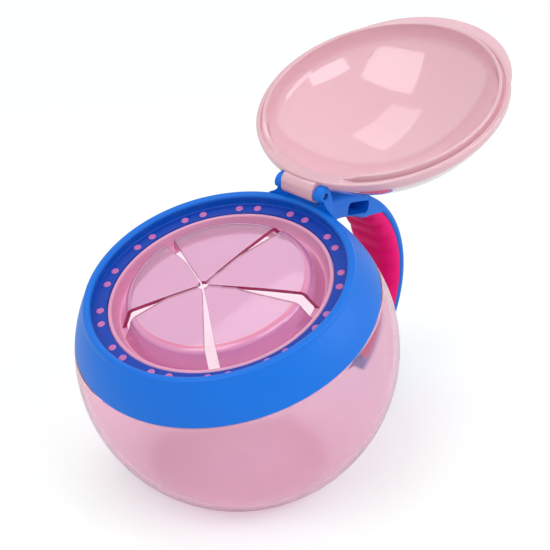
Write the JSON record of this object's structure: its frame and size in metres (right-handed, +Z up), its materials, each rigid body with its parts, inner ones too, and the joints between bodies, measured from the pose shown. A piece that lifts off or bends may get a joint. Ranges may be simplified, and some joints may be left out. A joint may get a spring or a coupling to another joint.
{
  "type": "toddler snack container",
  "caption": "Round snack bowl with a leaning screw-on collar, a slit soft flap a hand can push through, a hinged dome lid and a side handle with a soft ribbed grip.",
  "frame": {"origin": "centre of the flat base, on the table", "axes": "+Z up; +Y back, towards the hinge and the handle; +X to the right, seen from the front"},
  "size_m": [0.098, 0.157, 0.1163],
  "materials": {
    "bowl_plastic": "clear tinted, polished",
    "lid_plastic": "clear tinted, polished",
    "blue_plastic": "satin moulded",
    "grip_rubber": "soft matt overmould",
    "flap_rubber": "clear tinted, soft",
    "seal_rubber": "soft matt",
    "pin_steel": "ground"
  },
  "bodies": {
    "bowl": {"bowl": "bowl_plastic"},
    "seal": {"neck_seal": "seal_rubber"},
    "collar": {"collar": "blue_plastic", "handle": "blue_plastic", "grip": "grip_rubber", "flap_ring": "flap_rubber", "hinge_pin": "pin_steel"},
    "lid": {"lid": "lid_plastic"},
    "petal_1": {"petal_1": "flap_rubber"},
    "petal_2": {"petal_2": "flap_rubber"},
    "petal_3": {"petal_3": "flap_rubber"},
    "petal_4": {"petal_4": "flap_rubber"},
    "petal_5": {"petal_5": "flap_rubber"}
  },
  "joints": [
    {"name": "collar_lift", "type": "slide", "parent": "bowl", "child": "seal", "axis": [0, -0.2957, 0.9553], "range_m": [0, 0.00601]},
    {"name": "collar_twist", "type": "hinge", "parent": "seal", "child": "collar", "pos_m": [0, 0, 0.04089], "axis": [0, -0.2957, 0.9553], "range_deg": [0, 360]},
    {"name": "lid_hinge", "type": "hinge", "parent": "collar", "child": "lid", "pos_m": [0, 0.02917, 0.08425], "axis": [1, 0, 0], "range_deg": [0, 177.5]},
    {"name": "petal_1_fold", "type": "hinge", "parent": "collar", "child": "petal_1", "pos_m": [0.01277, 0.00971, 0.07121], "axis": [0.8192, -0.5479, -0.1696], "range_deg": [-20, 65], "stiffness_Nm_per_rad": 0.004},
    {"name": "petal_2_fold", "type": "hinge", "parent": "collar", "child": "petal_2", "pos_m": [0.02129, -0.01393, 0.06389], "axis": [-0.2924, -0.9135, -0.2828], "range_deg": [-20, 65], "stiffness_Nm_per_rad": 0.004},
    {"name": "petal_3_fold", "type": "hinge", "parent": "collar", "child": "petal_3", "pos_m": [0.00039, -0.02898, 0.05923], "axis": [-0.9998, -0.0167, -0.0052], "range_deg": [-20, 65], "stiffness_Nm_per_rad": 0.004},
    {"name": "petal_4_fold", "type": "hinge", "parent": "collar", "child": "petal_4", "pos_m": [-0.02105, -0.01464, 0.06367], "axis": [-0.3256, 0.9032, 0.2796], "range_deg": [-20, 65], "stiffness_Nm_per_rad": 0.004},
    {"name": "petal_5_fold", "type": "hinge", "parent": "collar", "child": "petal_5", "pos_m": [-0.0134, 0.00927, 0.07107], "axis": [0.7986, 0.5749, 0.178], "range_deg": [-20, 65], "stiffness_Nm_per_rad": 0.004}
  ],
  "couplings": [
    {"joint": "collar_lift", "follows": "collar_twist", "m_per_rad": 0.00095493}
  ]
}
